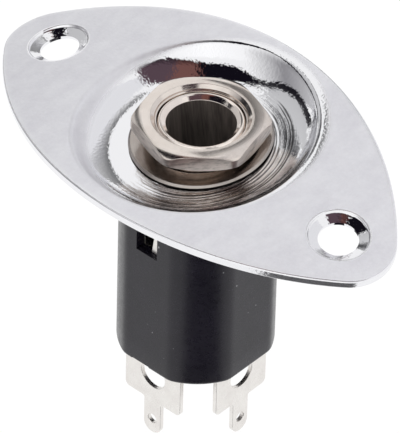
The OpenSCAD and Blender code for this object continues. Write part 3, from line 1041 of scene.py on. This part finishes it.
def plastic_material():
    m = Surface("moulded_plastic")
    body = m.ramp(m.noise(300, 4, 0.6), [(0.3, (0.0065, 0.0055, 0.010)), (0.7, (0.0115, 0.0100, 0.0165))])
    dust = m.ramp(m.noise(2600, 1, 0.4), [(0.79, (0, 0, 0)), (0.83, (0.30, 0.30, 0.31))])
    m.set("Base Color", m.mix(1.0, body, dust, "ADD"))
    m.set("Specular IOR Level", 0.345)
    m.set("Roughness", m.spread(m.noise(1800, 3, 0.6), 0.24, 0.33))
    m.set("Normal", m.bump(m.noise(2600, 3, 0.6), 0.15, 0.02 * MM))
    return m.owner


# Stage, light and camera

def make_world():
    world = bpy.data.worlds.new("studio")
    bpy.context.scene.world = world
    m = Nodes(world, "ShaderNodeOutputWorld")
    light = m.node("ShaderNodeBackground", {"Color": (1, 1, 1, 1), "Strength": 1.0})
    m.feed(m.surface, light.outputs[0])


def aim(ax, ay):
    """A direction ax degrees right of and ay degrees above the line from the part to the camera's place."""
    angle, turn = math.radians(math.hypot(ax, ay)), math.atan2(ay, ax)
    s = math.sin(angle)
    return (CAM_X * (s * math.cos(turn)) + CAM_Y * (s * math.sin(turn)) + CAM_Z * math.cos(angle)).normalized()


def card_material(name, colour):
    """Shines evenly in one colour, as dense as the mesh's "cover"."""
    m = Nodes(bpy.data.materials.new(name))
    glow = m.node("ShaderNodeEmission", {"Color": (*colour, 1)})
    clear = m.node("ShaderNodeBsdfTransparent", {})
    blend = m.node("ShaderNodeMixShader", {0: m.attribute("cover"), 1: clear.outputs[0], 2: glow.outputs[0]})
    m.feed(m.surface, blend.outputs[0])
    return m.owner


def card(name, edge_a, edge_b, colour, cover_a, cover_b, distance=0.42):
    """A studio flag or glow that only the part's reflections see: a curved sheet between two edge lines.

    The lines are lists of angles as for aim(); the sheet's density goes from cover_a to cover_b.
    """
    along, across = 4, 8

    def divided(line):
        pairs = [(Vector(p), Vector(q)) for p, q in zip(line, line[1:])]
        return [p.lerp(q, i / along) for p, q in pairs for i in range(along)] + [Vector(line[-1])]

    verts, cover = [], []
    for p, q in zip(divided(edge_a), divided(edge_b)):
        for j in range(across + 1):
            verts.append(tuple(aim(*p.lerp(q, j / across)) * distance))
            cover.append(cover_a + (cover_b - cover_a) * j / across)
    rows = len(verts) // (across + 1)
    starts = [i * (across + 1) + j for i in range(rows - 1) for j in range(across)]
    me = bpy.data.meshes.new(name)
    me.from_pydata(verts, [], [(k, k + 1, k + across + 2, k + across + 1) for k in starts])
    mark(me, "cover", cover)
    ob = place(name, me, card_material(name, colour))
    ob.visible_camera = False
    ob.visible_shadow = False
    ob.visible_diffuse = False


def make_cards():
    black = (0.006, 0.005, 0.009)
    rust, plum = (0.18, 0.082, 0.073), (0.10, 0.064, 0.080)
    gap, grey_wall = (0.045, 0.045, 0.05), (0.29, 0.285, 0.30)
    bright = (1.14, 1.14, 1.14)
    # Far wall of the dish: a black flag, then a rust and a plum one
    card("flag_black", [(-11, 24), (-14, 27), (-21, 28), (-28, 28), (-34, 30), (-38, 37), (-41, 45), (-42, 54)],
         [(-11, 64), (-12, 64), (-14, 64), (-16, 64), (-18, 64), (-21, 64), (-26, 63), (-34, 62)],
         black, 1, 1, 0.400)
    card("flag_rust", [(-11, 24), (-6, 20), (3, 14)], [(-11, 64), (-6, 64), (-1, 64)], rust, 1, 1, 0.405)
    card("flag_plum", [(2, 14), (13, 7), (23, 10), (29, 11), (34, 14)],
         [(-2, 64), (4, 63), (12, 55), (19, 44), (28, 27)], plum, 1, 1, 0.410)
    card("flag_fringe", [(-11, 24), (-6, 20), (3, 14), (13, 7), (23, 10), (34, 13)],
         [(-10, 36), (-4, 33), (5, 28), (15, 22), (24, 21), (31, 20)], black, 0.8, 0.0, 0.398)
    # Dark arc in the right wall, the grey wall over it, and what lies under it
    card("flag_arc",
         [(-41, 46), (-49, 46), (-61, 37), (-71, 35), (-82, 37), (-89, 44), (-94, 56), (-101, 68)],
         [(-40, 56), (-47, 55), (-60, 49), (-68, 49), (-76, 51), (-80, 57), (-83, 66), (-88, 78)],
         black, 1, 0.94, 0.400)
    card("flag_wall_right", [(-46, -30), (-44, 10), (-38, 44)], [(-80, -30), (-78, 10), (-66, 50)],
         grey_wall, 0.0, 1.0, 0.45)
    card("flag_wall_far_right", [(-80, -30), (-78, 10), (-66, 50)], [(-125, -30), (-120, 30), (-112, 50)],
         grey_wall, 1.0, 0.5, 0.45)
    card("flag_under_arc", [(-43, 56), (-60, 47), (-68, 47), (-76, 49), (-80, 55), (-83, 64)],
         [(-30, 78), (-40, 79), (-50, 84), (-62, 90), (-74, 96), (-90, 100)], (0.5, 0.5, 0.51), 0.9, 0.7, 0.43)
    # The dark gaps beside the long light over the part, and the wall left of it
    right_gap_mid = [(-25, 88), (-34, 88), (-42, 92), (-50, 97), (-58, 103), (-66, 110)]
    card("flag_gap_right", [(-24, 78), (-34, 78), (-44, 81), (-54, 85), (-64, 91), (-72, 98)],
         right_gap_mid, gap, 0.65, 1.0)
    card("flag_gap_right_low", right_gap_mid,
         [(-26, 98), (-34, 99), (-42, 104), (-50, 110), (-58, 118), (-66, 126)], gap, 1.0, 0.5)
    card("flag_gap_left", [(3, 73), (0, 82), (1, 88), (4, 93), (6, 99), (6, 106), (4, 116)],
         [(11, 69), (17, 78), (26, 84), (42, 90), (66, 97), (95, 108), (110, 122)],
         (0.14, 0.14, 0.143), 1.0, 0.0)
    card("flag_left_wall", [(10, 40), (12, 70), (14, 96)], [(110, 30), (110, 80), (90, 120)],
         (0.84, 0.84, 0.86), 1.0, 1.0, 0.46)
    # The brightest light, seen by the steep far wall
    card("glow_wall", [(-18, -34), (-18, 14)], [(12, -30), (12, 10)], bright, 1.0, 0.2, 0.47)
    card("glow_wall_right", [(-18, -34), (-18, 14)], [(-50, -34), (-50, 12)], bright, 1.0, 0.2, 0.47)
    # Dark card low in front, seen by the round front of the barrel
    card("flag_low", [(-16, -68), (-18, -90), (-20, -104)], [(32, -68), (34, -90), (36, -104)],
         black, 1, 1, 0.08)


def make_floor():
    s, z = FLOOR_SIZE, FLOOR_LEVEL
    me = bpy.data.meshes.new("studio_floor")
    me.from_pydata([(-s, -s, z), (s, -s, z), (s, s, z), (-s, s, z)], [], [(0, 1, 2, 3)])
    m = Nodes(bpy.data.materials.new("studio_floor"))
    diffuse = m.node("ShaderNodeBsdfDiffuse", {"Color": (0.85, 0.85, 0.85, 1)})
    glow = m.node("ShaderNodeEmission", {"Strength": 0.18})
    both = m.node("ShaderNodeAddShader", {0: diffuse.outputs[0], 1: glow.outputs[0]})
    m.feed(m.surface, both.outputs[0])
    ob = place("studio_floor", me, m.owner)


def make_camera():
    cam = bpy.data.cameras.new("camera")
    cam.sensor_fit = "VERTICAL"
    cam.sensor_height = SENSOR
    cam.lens = CAM_FOCAL_PX * SENSOR / FRAME_H_PX
    cam.clip_end = 20
    ob = new_object("camera", cam)
    spot = CAM_Z * CAM_DISTANCE - CAM_X * CAM_T[0] - CAM_Y * CAM_T[1] + Vector((0, 0, CROWN_Z))
    m = Matrix.Identity(4)
    for col, axis in enumerate((CAM_X, CAM_Y, CAM_Z)):
        for row in range(3):
            m[row][col] = axis.normalized()[row]
    m.translation = spot * MM
    ob.matrix_world = m
    bpy.context.scene.camera = ob


bpy.context.scene.view_settings.view_transform = "Standard"
make_world()
make_camera()
make_floor()
make_cards()

chrome = chrome_material()
nut_nickel = nickel_material("nut_nickel", 0.09, 0.16, pale=0.85)
bushing_nickel = nickel_material("bushing_nickel", 0.07, 0.13)
# The washer is the same nickel at half tone, painted shade under the nut, and its undercut's painted shade is a
# tenth of the bore's
washer_nickel = nickel_material("washer_nickel", 0.16, 0.26, pale=0.50, hollow_shade=0.1)
plastic = plastic_material()
strip_metal = contact_material()

pieces = [
    make_plate(chrome),
    make_washer(washer_nickel),
    make_nut(nut_nickel),
    make_bushing(bushing_nickel),
    make_housing(plastic),
    make_tip_contact(strip_metal),
    make_sleeve_contact(strip_metal),
]
for piece in pieces:
    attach(piece, "root")
